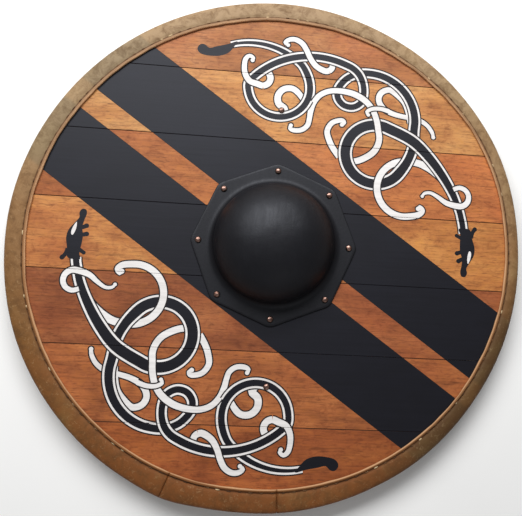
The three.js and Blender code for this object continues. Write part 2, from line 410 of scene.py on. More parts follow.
def place(piece, slot, *nodes):
    """The piece rides on the shield and stands for those CAD nodes."""
    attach(piece, "root")
    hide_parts(*nodes)


def loft(rings, ends="flat", tips=()):
    """Vertices and faces of a skin through rings of points. Its ends are flat, joined, or run to tips."""
    count = len(rings[0])
    vertices = [point for ring in rings for point in ring]
    last = len(vertices) - count
    faces = []
    for r in range(len(rings) if ends == "joined" else len(rings) - 1):
        here, there = r * count, ((r + 1) % len(rings)) * count
        for i in range(count):
            j = (i + 1) % count
            faces.append((here + i, here + j, there + j, there + i))
    if ends == "flat":
        faces.append(tuple(reversed(range(count))))
        faces.append(tuple(range(last, len(vertices))))
    if ends == "tips":
        for i in range(count):
            j = (i + 1) % count
            faces.append((len(vertices), j, i))
            faces.append((len(vertices) + 1, last + i, last + j))
        vertices += tips
    return vertices, faces


def lathe(profile, x, y, sides, wobble=0.0, seed=0):
    """Vertices and faces of a profile of (radius, z), from axis to axis, turned about an upright line."""
    rings = []
    for radius, z in profile[1:-1]:
        ring = []
        for angle in even_angles(sides):
            spot = Vector((*polar(radius, angle), z))
            push = 1 + wobble * noise.noise(spot * 0.35 + Vector((seed, 0, 0)))
            ring.append((x + spot.x * push, y + spot.y * push, z))
        rings.append(ring)
    return loft(rings, "tips", [(x, y, profile[0][1]), (x, y, profile[-1][1])])


def joined(shells):
    """The vertices and faces of several shells as one list of each."""
    vertices, faces = [], []
    for more, quads in shells:
        faces += [tuple(i + len(vertices) for i in face) for face in quads]
        vertices += more
    return vertices, faces


def set_bake_map(piece, where):
    """A map for baking: where(polygon, vertex) gives a face corner's place in the square."""
    layer = piece.data.uv_layers.new(name="OFBake")
    for polygon in piece.data.polygons:
        for loop in polygon.loop_indices:
            vertex = piece.data.vertices[piece.data.loops[loop].vertex_index].co / MM
            layer.data[loop].uv = where(polygon, vertex)


# Boards

# Strips of the square that a board is baked to, each as (start, size)
BAKED_LENGTH = 0.005, 0.99
BAKED_FACE = 0.34, 0.655
BAKED_BACK = 0.05, 0.27
BAKED_EDGES = 0.005, 0.035

OUTLINE_SIDES = 288
STRIP_SPILL = 2
TOUCHING = 0.01


def board_triangles(node, layers, holes):
    """The board's face cut into triangles: points, triangles and each triangle's paint."""
    low, high = box_mm(node)
    low_y, high_y = low.y + EASED_EDGE, high.y - EASED_EDGE
    left, right = low.x - STRIP_SPILL, high.x + STRIP_SPILL
    strip = [Vector(p) for p in ((left, low_y), (right, low_y), (right, high_y), (left, high_y))]
    round_edge = [p.normalized() * (DISC_RADIUS - EASED_EDGE + astray(360 * i / OUTLINE_SIDES, EDGE_SHIFTS))
                  for i, p in enumerate(disc(0, 0, DISC_RADIUS, OUTLINE_SIDES))]
    cuts = [(strip, "keep"), (round_edge, "keep")]
    cuts += [(disc(x, y, radius + EASED_EDGE, sides), "drop") for x, y, radius, sides in holes]
    points, faces, marks = [], [], []
    for outline, mark in cuts + [(outline, (i, paint)) for i, (outline, paint) in enumerate(layers)]:
        heights = [p.y for p in outline]
        if max(heights) < low_y or min(heights) > high_y:
            continue
        faces.append(list(range(len(points), len(points) + len(outline))))
        points += outline
        marks.append(mark)
    spots, _, triangles, _, _, sources = delaunay_2d_cdt(points, [], faces, 1, 1e-4)
    kept, paints = [], []
    for triangle, source in zip(triangles, sources):
        found = [marks[i] for i in source]
        if found.count("keep") < 2 or "drop" in found:
            continue
        painted = [mark for mark in found if isinstance(mark, tuple)]
        kept.append(triangle)
        paints.append(max(painted)[1] if painted else WOOD)
    return spots, kept, paints


def outward_offsets(mesh):
    """For each vertex on the mesh's open edge, how far out the eased edge puts it."""
    sums = {}
    for edge in (e for e in mesh.edges if e.is_boundary):
        loop = edge.link_loops[0]
        along = (loop.link_loop_next.vert.co - loop.vert.co).normalized()
        out = Vector((along.y, -along.x, 0))
        for vertex in edge.verts:
            sums.setdefault(vertex, []).append(out)
    offsets = {}
    for vertex, outs in sums.items():
        middle = sum(outs, Vector()).normalized()
        offsets[vertex] = middle * min(1.6, 1 / max(0.3, middle.dot(outs[0])))
    return offsets


def make_board(node, layers, holes, materials):
    """A board from its painted face down: eased edges, sides and back."""
    spots, triangles, paints = board_triangles(node, layers, holes)
    mesh = bmesh.new()
    vertices = [mesh.verts.new((p.x, p.y, FACE_Z)) for p in spots]
    for triangle, paint in zip(triangles, paints):
        face = mesh.faces.new([vertices[i] for i in triangle])
        face.material_index = paint
        face.normal_update()
        if face.normal.z < 0:
            face.normal_flip()
    for vertex in [v for v in mesh.verts if not v.link_faces]:
        mesh.verts.remove(vertex)
    offsets = outward_offsets(mesh)
    edges = [(e.link_loops[0].vert, e.link_loops[0].link_loop_next.vert, e.link_faces[0].material_index)
             for e in mesh.edges if e.is_boundary]
    low, high = box_mm(node)

    def lowered(spread, z, press=0):
        """The face's border again, spread outward and lower down, and pressed on along its seams."""
        ring = {}
        for vertex, offset in offsets.items():
            to_seam = min(vertex.co.y - low.y, high.y - vertex.co.y)
            reach = spread + (press if to_seam < EASED_EDGE + TOUCHING else 0)
            spot = vertex.co + offset * reach
            ring[vertex] = mesh.verts.new((spot.x, spot.y, z))
        return ring

    rings = [{v: v for v in offsets}, lowered(EASED_EDGE, FACE_Z - EASED_EDGE),
             lowered(EASED_EDGE, BACK_Z + EASED_EDGE, SEAM_PRESS), lowered(0, BACK_Z)]
    # Bare wood's eased edges and all the sides get the dark brown coat, painted shade between the boards.
    for start, end, paint in edges:
        edge_coat = SEAM_SHADE if paint == WOOD else paint
        for upper, lower, index in zip(rings, rings[1:], (edge_coat, SEAM_SHADE, SEAM_SHADE)):
            face = mesh.faces.new((upper[end], upper[start], lower[start], lower[end]))
            face.material_index = index
    close_back(mesh, edges, rings[-1], holes, len(materials) - 1)
    data = bpy.data.meshes.new(node + "_painted")
    mesh.normal_update()
    bmesh.ops.scale(mesh, vec=(MM, MM, MM), verts=mesh.verts)
    mesh.to_mesh(data)
    mesh.free()
    for material in materials:
        data.materials.append(material)
    piece = add_object(node + "_painted", data)

    def where(polygon, vertex):
        across = (vertex.x - low.x) / (high.x - low.x)
        up = (vertex.y - low.y) / (high.y - low.y)
        if polygon.normal.z > 0.5:
            strip, share = BAKED_FACE, up
        elif polygon.normal.z < -0.5:
            strip, share = BAKED_BACK, up
        else:
            strip, share = BAKED_EDGES, (vertex.z - BACK_Z) / (FACE_Z - BACK_Z)
            across = (across + up) / 2
        return BAKED_LENGTH[0] + BAKED_LENGTH[1] * across, strip[0] + strip[1] * share

    set_bake_map(piece, where)
    place(piece, "stained_boards", node)


def close_back(mesh, edges, ring, holes, material_index):
    """Fills the board's back inside its lowest ring."""
    corners = list(ring.values())
    number = {vertex: i for i, vertex in enumerate(corners)}
    borders = [(number[ring[start]], number[ring[end]]) for start, end, _ in edges]
    _, _, triangles, sources, _, _ = delaunay_2d_cdt([v.co.xy for v in corners], borders, [], 0, 1e-6)
    for triangle in triangles:
        back = [corners[sources[i][0]] for i in triangle]
        middle = sum((v.co for v in back), Vector()) / 3
        if any(math.hypot(middle.x - x, middle.y - y) < radius for x, y, radius, _ in holes):
            continue
        face = mesh.faces.new(back)
        face.material_index = material_index
        face.normal_update()
        if face.normal.z > 0:
            face.normal_flip()


# Boss


def flange_reach(angle):
    """Distance from the middle to the eight-cornered flange's edge, its corners a little rounded."""
    apothem = FLANGE_CORNER_RADIUS * math.cos(math.pi / 8)
    total = 0
    for i in range(8):
        facing = math.cos(angle - (i + 0.5) * math.pi / 4)
        if facing > 0:
            total += (facing / apothem) ** 60
    return total ** (-1 / 60)


def boss_profile(offset):
    """Rows of (radius, share of the way across the flange, height above the flange's top)."""
    crown = BOSS_TOP_Z - BOSS_BASE_Z - BOSS_SHEET - DOME_FILLET - offset
    rows = []
    for i in range(1, 37):
        angle = math.radians(90 - 2.5 * i)
        rows.append(((DOME_RADIUS - offset) * math.cos(angle), 0, DOME_FILLET + crown * math.sin(angle)))
    fillet = DOME_FILLET + offset
    for i in range(1, 11):
        angle = math.radians(180 + 9 * i)
        reach = DOME_RADIUS + DOME_FILLET + fillet * math.cos(angle)
        rows.append((reach, 0, DOME_FILLET + fillet * math.sin(angle)))
    for i in range(1, 7):
        rows.append((DOME_RADIUS + DOME_FILLET, i / 6, -offset))
    return rows


def beaten(x, y, z):
    """How far the hammer left a spot of the dome above or below its true height; 0 on the flange."""
    spot = Vector((x, y, z))
    dents = 0.35 * noise.noise(spot / 22) + 0.12 * noise.noise(spot / 7)
    return dents * min(1, max(0, z) / 6)


def make_boss(material):
    top = BOSS_BASE_Z + BOSS_SHEET
    edge = BOSS_SHEET / 2
    rounding = [(DOME_RADIUS + DOME_FILLET, 1, -edge + edge * math.cos(a), edge * math.sin(a))
                for a in (math.pi / 4, math.pi / 2, 3 * math.pi / 4)]
    outer, inner = ([(*row, 0) for row in boss_profile(offset)] for offset in (0, BOSS_SHEET))
    rings = []
    for radius, share, z, bulge in outer + rounding + inner[::-1]:
        ring = []
        for angle in even_angles(BOSS_SIDES):
            reach = radius
            if share:
                uneven = 0.35 * noise.noise(Vector((*polar(5, angle), 3)))
                reach += (flange_reach(angle) - edge + uneven - radius) * share + bulge
            x, y = polar(reach, angle)
            ring.append((x, y, top + z + beaten(x, y, z)))
        rings.append(ring)
    crowns = [(0, 0, BOSS_TOP_Z), (0, 0, BOSS_TOP_Z - BOSS_SHEET)]
    piece = new_piece("boss_dome", *loft(rings, "tips", crowns), [material])
    fix_normals(piece)
    place(piece, "black_steel", "boss")


# Rivets and roves


def make_rivet(node, material, index):
    low, high = box_mm(node)
    base, dome = high.z - HEAD_HEIGHT, HEAD_HEIGHT - HEAD_LIP
    profile = [(0, low.z), (PEEN_RADIUS * 0.5, low.z + 0.1), (PEEN_RADIUS * 0.85, low.z + 0.5),
               (PEEN_RADIUS, low.z + 1.1), (PEEN_RADIUS * 0.9, low.z + PEEN_HEIGHT),
               (SHANK_RADIUS, low.z + PEEN_HEIGHT), (SHANK_RADIUS, base),
               (HEAD_RADIUS * 0.97, base), (HEAD_RADIUS, base + HEAD_LIP)]
    for degrees in range(15, 90, 15):
        angle = math.radians(degrees)
        profile.append((HEAD_RADIUS * math.cos(angle), base + HEAD_LIP + dome * math.sin(angle)))
    profile.append((0, high.z))
    vertices, faces = lathe(profile, *axis_of(node), 28, wobble=0.06, seed=index * 7.3)
    piece = new_piece(node.replace("rivet", "copper_rivet"), vertices, faces, [material])
    place(piece, "copper", node)


def make_rove(node, material, index):
    low, high = box_mm(node)
    x, y = axis_of(node)
    bore, outer = DRILL_RADIUS, ROVE_RADIUS
    section = [(bore, high.z), (bore, low.z), (bore + 0.6, low.z), (outer - 0.6, low.z + 0.3),
               (outer, low.z + 0.7), (outer - 0.1, high.z - 0.1), (outer - 0.5, high.z)]
    rings = []
    for angle in even_angles(32):
        uneven = 1 + 0.03 * noise.noise(Vector((*polar(2, angle), index * 3.1)))
        ring = []
        for radius, z in section:
            dx, dy = polar(radius if radius == bore else radius * uneven, angle)
            ring.append((x + dx, y + dy, z))
        rings.append(ring)
    vertices, faces = loft(rings, "joined")
    piece = new_piece(node.replace("rove", "copper_rove"), vertices, faces, [material])
    place(piece, "copper", node)


# Leather edging


def groove_pull(angle):
    """0 to 1: how hard the stitches pull the leather down at this angle."""
    along = math.radians(angle) * STITCH_RADIUS / STITCH_SPACING
    return 0.5 + 0.5 * math.cos(2 * math.pi * along)


def rim_half_section(angle, seed, end_fall):
    """One side of the leather, from its lip to its outer edge: (radius, height over the boards)."""
    spot = Vector((*polar(1, math.radians(angle)), seed))
    waver = 1.1 * noise.noise(spot * 6) + 0.5 * noise.noise(spot * 21)
    crimp = 0.28 * noise.noise(spot * 34) + 0.16 * noise.noise(spot * 75)
    swell = 0.3 * noise.noise(spot * 9)
    lip = LIP_RADIUS + 0.6 + waver
    stitch = STITCH_RADIUS + 0.35 * waver
    pull = groove_pull(angle)
    full = EDGING_HEIGHT
    section = [
        (lip, 0.35),
        (lip - 0.15, full - 0.3 + swell),
        (lip + 0.7, full + 0.55 + swell),
        (lip + 2.0, full + 0.6 + swell),
        (lip + 3.3, full + 0.15 + swell - 0.2 * pull),
        (stitch - 0.8, full - 0.75 - 0.35 * pull),
        (stitch + 0.7, full - 0.8 - 0.35 * pull),
        (stitch + 2.2, full - 0.1 - 0.3 * pull),
        (stitch + 4.2, full + 0.15 + 0.5 * swell + 0.4 * crimp),
        (stitch + 7.5, full + 0.2 + swell + crimp),
        (stitch + 11, full + swell + 1.1 * crimp),
        (stitch + 14.2, full - 0.5 + 0.7 * swell + 1.2 * crimp),
        (RIM_OUTER - 3.9, full - 1.35 + crimp),
        (RIM_OUTER - 2.1 + 0.4 * crimp, full - 2.7),
        (RIM_OUTER - 0.9 + 0.5 * crimp, full - 4.6),
        (RIM_OUTER - 0.4 + 0.5 * crimp, full - 7.6),
    ]
    lip_shift = astray(angle, LIP_SHIFTS)
    bulge = BULGE * math.exp(-((angle % 360 - BULGE_ANGLE) / BULGE_SPREAD) ** 2)
    edge_shift = astray(angle, EDGE_SHIFTS) + bulge
    shifted = []
    for r, h in section:
        out = min(1, max(0, (r - STITCH_RADIUS - 2) / (RIM_OUTER - STITCH_RADIUS - 6)))
        fallen = max(CLEARANCE, h - end_fall) if r < RIM_OUTER - 3 else h - 0.2 * end_fall
        shifted.append((r + lip_shift * (1 - out) + edge_shift * out, fallen))
    return shifted


def make_rim_strip(node, start, end, material):
    joint = math.degrees(JOINT_GAP / 2 / DISC_RADIUS)
    start, end = start + joint, end - joint
    count = math.ceil((end - start) / RIM_STEP_DEGREES)
    middle = (FACE_Z + BACK_Z) / 2
    rings = []
    for i in range(count + 1):
        angle = start + (end - start) * i / count
        from_end = math.radians(min(angle - start, end - angle)) * RIM_OUTER
        end_fall = JOINT_FALL * max(0, 1 - from_end / JOINT_FALL_LENGTH) ** 2
        face = rim_half_section(angle, 1.0, end_fall)
        back = rim_half_section(angle, 4.0, end_fall)
        outline = [(r, FACE_Z + h) for r, h in face] + [(r, BACK_Z - h) for r, h in reversed(back)]
        core = DISC_RADIUS + CLEARANCE + astray(angle, EDGE_SHIFTS)
        outline += [(core, BACK_Z - CLEARANCE), (core, middle), (core, FACE_Z + CLEARANCE)]
        rings.append([(*polar(r, math.radians(angle)), z) for r, z in outline])
    vertices, faces = loft(rings)
    piece = new_piece(node.replace("rim_strip", "leather_edging"), vertices, faces, [material])
    fix_normals(piece)
    place(piece, "rim_leather", node)


def fix_normals(piece):
    """Turns every face outward."""
    mesh = bmesh.new()
    mesh.from_mesh(piece.data)
    bmesh.ops.recalc_face_normals(mesh, faces=mesh.faces)
    mesh.to_mesh(piece.data)
    mesh.free()


def make_stitches(name, start, end, side, material):
    """One running stitch after another along the groove, on the face (side 1) or the back (-1).

    None is made that would come too close to the strip's ends."""
    draw = random.Random(side * 31 + round(start))
    spacing = math.degrees(STITCH_SPACING / STITCH_RADIUS)
    stitches = []
    last = math.ceil((end - 2 * STITCH_MARGIN_DEGREES) / spacing)
    for number in range(math.ceil(start / spacing), last):
        middle = (number + 0.5) * spacing
        length = STITCH_LENGTH * draw.uniform(0.75, 1.15)
        radius = STITCH_RADIUS + draw.uniform(-0.4, 0.4) + astray(middle, LIP_SHIFTS)
        half = math.degrees(length / 2 / radius)
        if min(middle - half - start, end - middle - half) <= STITCH_MARGIN_DEGREES:
            continue
        rings = []
        for k in range(7):
            along = -1 + k / 3
            angle = math.radians(middle + along * half)
            arch = EDGING_HEIGHT - STITCH_SINK - 1.5 * along ** 4
            thick = STITCH_THICKNESS * (1 - 0.35 * along ** 4)
            ring = []
            for t in even_angles(8):
                across, up = polar(thick, t)
                z = FACE_Z + arch + up if side > 0 else BACK_Z - arch - up
                ring.append((*polar(radius + 1.25 * across, angle), z))
            rings.append(ring)
        stitches.append(loft(rings))
    piece = new_piece(name, *joined(stitches), [material])
    fix_normals(piece)
    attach(piece, "root")


# Grip bar


def bar_section(width, thickness, upper, lower):
    """Points (x, z) round the bar: flat top and bottom with rounded corners."""
    half, points = width / 2, []
    for sign_x, z, inward, rounding, first in (
        (1, 0, 1, lower, -90), (1, thickness, -1, upper, 0),
        (-1, thickness, -1, upper, 90), (-1, 0, 1, lower, 180),
    ):
        for step in range(6):
            dx, dz = polar(rounding, math.radians(first + 18 * step))
            points.append((sign_x * (half - rounding) + dx, z + inward * rounding + dz))
    return points


def bar_size(y, full):
    """The bar's (width, thickness, upper rounding, lower rounding) at a distance from its middle."""
    half = box_mm("grip_bar")[1].y
    stations = [(0, 31, full, 6, 7), (39, 31, full, 6, 7), (54, 33.5, full, 3.5, 5.5), (68, 36, full, 1.5, 4),
                (half - 24, 36, full, 1.5, 4), (half - 14, 35.4, full - 0.7, 1.5, 4),
                (half - 6, 31, full - 4, 1.5, 4), (half - 1.5, 25, full - 8, 1.5, 3.4),
                (half, 22, full - 9.5, 1.5, 3)]
    k = next(k for k in range(len(stations) - 1) if abs(y) <= stations[k + 1][0] + 1e-6)
    (near, *before), (far, *after) = stations[k], stations[k + 1]
    t = (abs(y) - near) / (far - near)
    t = t * t * (3 - 2 * t) if k in (1, 2) else t
    return [a + (b - a) * t for a, b in zip(before, after)]


def bar_places(half):
    """Places along the bar: evenly spaced in its middle stretch and ever closer towards its ends."""
    count, even = 96, 60
    stretch = half * math.sin(math.pi / 2 * even / count)
    return [half * math.sin(math.pi / 2 * i / count) if abs(i) > even else stretch * i / even
            for i in range(-count, count + 1)]


def make_grip_bar(material):
    half, full = box_mm("grip_bar")[1].yz
    rings = []
    for y in bar_places(half):
        width, thick, upper, lower = bar_size(y, full)
        worn = 0.25 * noise.noise(Vector((0, y / 30, 7)))
        rings.append([(x + worn, y, z + full - thick) for x, z in bar_section(width, thick, upper, lower)])
    piece = new_piece("carved_grip_bar", *loft(rings), [material])
    fix_normals(piece)
    profile = [(0, -3), (COUNTERBORE_RADIUS, -3), (COUNTERBORE_RADIUS, COUNTERBORE_DEPTH - 0.1),
               (COUNTERBORE_RADIUS - 0.5, COUNTERBORE_DEPTH), (DRILL_RADIUS, COUNTERBORE_DEPTH),
               (DRILL_RADIUS, full + 3), (0, full + 3)]
    through = [node for node in BOSS_RIVETS if abs(axis_of(node)[0]) < 1] + BAR_RIVETS
    cut_holes(piece, profile, [axis_of(node)[1] for node in through])
    place(piece, "bar_wood", "grip_bar")


def cut_holes(piece, profile, places):
    """Holes of one turned profile cut out of the piece, at those places along Y."""
    tool = new_piece("hole_cutter", *joined(lathe(profile, 0, y, 32) for y in places), [])
    fix_normals(tool)
    modifier = piece.modifiers.new("holes", "BOOLEAN")
    modifier.operation, modifier.object, modifier.solver = "DIFFERENCE", tool, "EXACT"
    bpy.context.view_layer.update()
    evaluated = piece.evaluated_get(bpy.context.evaluated_depsgraph_get())
    mesh = bpy.data.meshes.new_from_object(evaluated)
    piece.modifiers.clear()
    piece.data = mesh
    bpy.data.objects.remove(tool)


# Materials


def srgb(red, green, blue):
    """A colour from 0 to 255 as the linear RGBA that shader sockets take."""
    def linear(value):
        value /= 255
        return value / 12.92 if value <= 0.04045 else ((value + 0.055) / 1.055) ** 2.4
    return linear(red), linear(green), linear(blue), 1


COLD_SHEEN = 0.88, 0.91, 1.0, 1
SHIFT_RANGE = 20

# Radii in metres that the edging's ramp runs from and over. A ramp has 256 steps, so a narrow band
# needs a short range.
RAMP_START = 0.296
RAMP_LENGTH = 0.025


class Shader:
    """Short ways to build a node material."""

    def __init__(self, name):
        self.material = bpy.data.materials.new(name)
        self.material.use_nodes = True
        self.nodes = self.material.node_tree.nodes
        self.links = self.material.node_tree.links
        self.surface = self.nodes["Principled BSDF"]
        self.place = self.nodes.new("ShaderNodeTexCoord").outputs["Object"]

    def feed(self, socket, value):
        if isinstance(value, bpy.types.NodeSocket):
            self.links.new(value, socket)
        else:
            socket.default_value = value

    def mapped(self, scale, offset=(0, 0, 0)):
        node = self.nodes.new("ShaderNodeMapping")
        node.inputs["Scale"].default_value = scale
        node.inputs["Location"].default_value = offset
        self.links.new(self.place, node.inputs["Vector"])
        return node.outputs["Vector"]

    def axis(self, letter):
        """The place along one axis, in metres."""
        node = self.nodes.new("ShaderNodeSeparateXYZ")
        self.links.new(self.place, node.inputs[0])
        return node.outputs[letter]

    def radius(self, shifts):
        """The distance from the shield's axis less the shift there, of shifts every 30 degrees, in metres."""
        node = self.nodes.new("ShaderNodeVectorMath")
        node.operation = "LENGTH"
        self.links.new(self.mapped((1, 1, 0)), node.inputs[0])
        angle = self.math("ARCTAN2", self.axis("Y"), self.axis("X"))
        around = self.math("FRACT", self.math("DIVIDE", angle, 2 * math.pi))
        shares = [0.5 + shift / SHIFT_RANGE for shift in (*shifts, shifts[0])]
        share = self.ramp(around, *[(i / 12, share) for i, share in enumerate(shares)], interpolation="EASE")
        shift = self.math("MULTIPLY_ADD", share, SHIFT_RANGE * MM, -SHIFT_RANGE / 2 * MM)
        return self.math("SUBTRACT", node.outputs["Value"], shift)

    def noise(self, vector, scale, detail=3, roughness=0.5, distortion=0.0):
        node = self.nodes.new("ShaderNodeTexNoise")
        self.links.new(vector, node.inputs["Vector"])
        settings = {"Scale": scale, "Detail": detail, "Roughness": roughness, "Distortion": distortion}
        for key, value in settings.items():
            node.inputs[key].default_value = value
        return node.outputs["Fac"]

    def ramp(self, value, *stops, interpolation="LINEAR"):
        """Stops are (position, colour or grey)."""
        node = self.nodes.new("ShaderNodeValToRGB")
        node.color_ramp.interpolation = interpolation
        self.links.new(value, node.inputs["Fac"])
        elements = node.color_ramp.elements
        while len(elements) < len(stops):
            elements.new(0.5)
        for element, (position, colour) in zip(elements, stops):
            element.position = position
            element.color = colour if isinstance(colour, tuple) else (colour, colour, colour, 1)
        return node.outputs["Color"]

    def mix(self, share, first, second, blend="MIX"):
        node = self.nodes.new("ShaderNodeMix")
        node.data_type, node.blend_type = "RGBA", blend
        self.feed(node.inputs["Factor"], share)
        self.feed(node.inputs[6], first)
        self.feed(node.inputs[7], second)
        return node.outputs[2]

    def math(self, operation, *values):
        node = self.nodes.new("ShaderNodeMath")
        node.operation = operation
        for socket, value in zip(node.inputs, values):
            self.feed(socket, value)
        return node.outputs[0]

    def bump(self, height, strength, distance):
        node = self.nodes.new("ShaderNodeBump")
        node.inputs["Strength"].default_value = strength
        node.inputs["Distance"].default_value = distance
        self.links.new(height, node.inputs["Height"])
        return node.outputs["Normal"]

    def finish(self, **inputs):
        """Feeds the surface's sockets, named with _ for a space, and gives the material."""
        for key, value in inputs.items():
            self.feed(self.surface.inputs[key.replace("_", " ")], value)
        return self.material


def stained_wood(name, seed, light, middle, dark, left, right):
    """Orange-brown stained board: blotchy staining, fine grain along X, short dark pores.

    Left and right say how much lighter or darker than its middle each end of the board is: partly the board's
    own staining, partly painted shade."""
    s = Shader(name)
    shift = (seed * 1.37, seed * 2.11, seed * 0.73)
    clouds = s.noise(s.mapped((9, 16, 16), shift), 1.6, 4, 0.55, 0.4)
    base = s.ramp(clouds, (0.3, dark), (0.5, middle), (0.7, light))
    blush = s.ramp(s.noise(s.mapped((5, 9, 9), shift), 1.3, 2), (0.5, 0.0), (0.75, 0.5))
    base = s.mix(blush, base, srgb(178, 96, 56))
    blotches = s.noise(s.mapped((52, 78, 78), shift), 1.6, 4, 0.7, 0.8)
    base = s.mix(1.0, base, s.ramp(blotches, (0.3, srgb(214, 204, 198)), (0.5, srgb(250, 250, 250)),
                                   (0.68, srgb(255, 255, 236))), "MULTIPLY")
    grain = s.noise(s.mapped((26, 360, 360), shift), 1.0, 5, 0.72, 0.5)
    base = s.mix(1.0, base, s.ramp(grain, (0.3, 0.62), (0.5, 1.0), (0.7, 1.16)), "MULTIPLY")
    flecks = s.noise(s.mapped((80, 620, 620), shift), 1.0, 2, 0.5)
    base = s.mix(s.ramp(flecks, (0.6, 0.0), (0.7, 0.6)), base, srgb(104, 56, 30))
    # The ends lighter or darker: own staining, and painted shade where the light falls off.
    along = s.math("MULTIPLY_ADD", s.axis("X"), 1.5, 0.5)
    base = s.mix(1.0, base, s.ramp(along, (0.1, left), (0.5, 1.0), (0.9, right)), "MULTIPLY")
    height = s.mix(0.5, grain, flecks)
    return s.finish(Base_Color=base, Roughness=s.ramp(clouds, (0.3, 0.62), (0.7, 0.54)),
                    Specular_IOR_Level=0.25, Normal=s.bump(height, 0.3, 0.0006))


def paint(name, colour, worn, roughness, tone_range=0.12):
    """Brushed matt paint over wood: a slight change of tone, with the grain just showing through."""
    s = Shader(name)
    clouds = s.noise(s.mapped((7, 12, 12)), 1.6, 4, 0.6)
    grain = s.noise(s.mapped((12, 300, 300)), 1.0, 4, 0.6)
    base = s.mix(s.ramp(clouds, (0.4, 0.0), (0.75, tone_range * 4)), colour, worn)
    base = s.mix(1.0, base, s.ramp(grain, (0.3, 0.86), (0.7, 1.08)), "MULTIPLY")
    return s.finish(Base_Color=base, Roughness=roughness, Specular_IOR_Level=0.28, Specular_Tint=COLD_SHEEN,
                    Normal=s.bump(grain, 0.16, 0.0005))


def plain_wood(name, seed, light, dark):
    """Unpainted wood of the back, oiled only."""
    s = Shader(name)
    shift = (seed * 1.9, seed * 1.3, 7)
    clouds = s.noise(s.mapped((7, 12, 12), shift), 1.5, 3, 0.5, 0.3)
    grain = s.noise(s.mapped((12, 240, 240), shift), 1.0, 5, 0.6, 0.3)
    base = s.ramp(clouds, (0.35, dark), (0.7, light))
    base = s.mix(1.0, base, s.ramp(grain, (0.3, 0.72), (0.7, 1.12)), "MULTIPLY")
    return s.finish(Base_Color=base, Roughness=0.6, Specular_IOR_Level=0.35,
                    Normal=s.bump(grain, 0.3, 0.0006))


def bar_wood():
    """Oiled ash with the grain along Y."""
    s = Shader("oiled_bar_wood")
    clouds = s.noise(s.mapped((16, 6, 16)), 1.5, 3)
    grain = s.noise(s.mapped((260, 9, 260)), 1.0, 5, 0.6, 0.3)
    base = s.ramp(clouds, (0.35, srgb(112, 76, 46)), (0.7, srgb(152, 108, 68)))
    base = s.mix(1.0, base, s.ramp(grain, (0.3, 0.7), (0.7, 1.12)), "MULTIPLY")
    return s.finish(Base_Color=base, Roughness=0.5, Specular_IOR_Level=0.4,
                    Normal=s.bump(grain, 0.3, 0.0006))


def black_steel():
    """Satin black paint on beaten steel."""
    s = Shader("satin_black_steel")
    pores = s.noise(s.place, 420, 3, 0.6)
    clouds = s.noise(s.place, 24, 4, 0.6)
    base = s.ramp(clouds, (0.35, srgb(12, 11, 14)), (0.7, srgb(17, 17, 21)))
    brushed = s.noise(s.mapped((150, 22, 60)), 1.0, 4, 0.7, 1.5)
    return s.finish(Base_Color=base, Roughness=s.ramp(brushed, (0.3, 0.43), (0.7, 0.55)),
                    Specular_IOR_Level=0.34, Specular_Tint=COLD_SHEEN,
                    Normal=s.bump(s.mix(0.5, brushed, pores), 0.3, 0.0006))


def copper():
    """Peened copper, browned, with painted shade where a head turns down."""
    s = Shader("peened_copper")
    dull = s.noise(s.place, 300, 4, 0.6)
    base = s.ramp(dull, (0.35, srgb(104, 76, 66)), (0.65, srgb(172, 140, 128)))
    normal = s.nodes.new("ShaderNodeSeparateXYZ")
    s.links.new(s.nodes.new("ShaderNodeNewGeometry").outputs["Normal"], normal.inputs[0])
    # Painted shade: the head turns dark brown where its surface faces sideways and down.
    base = s.mix(s.ramp(normal.outputs["Z"], (0.35, 0.85), (0.75, 0.0)), base, srgb(46, 26, 20))
    return s.finish(Base_Color=base, Metallic=1.0, Roughness=s.ramp(dull, (0.3, 0.42), (0.7, 0.28)),
                    Normal=s.bump(dull, 0.3, 0.0005))


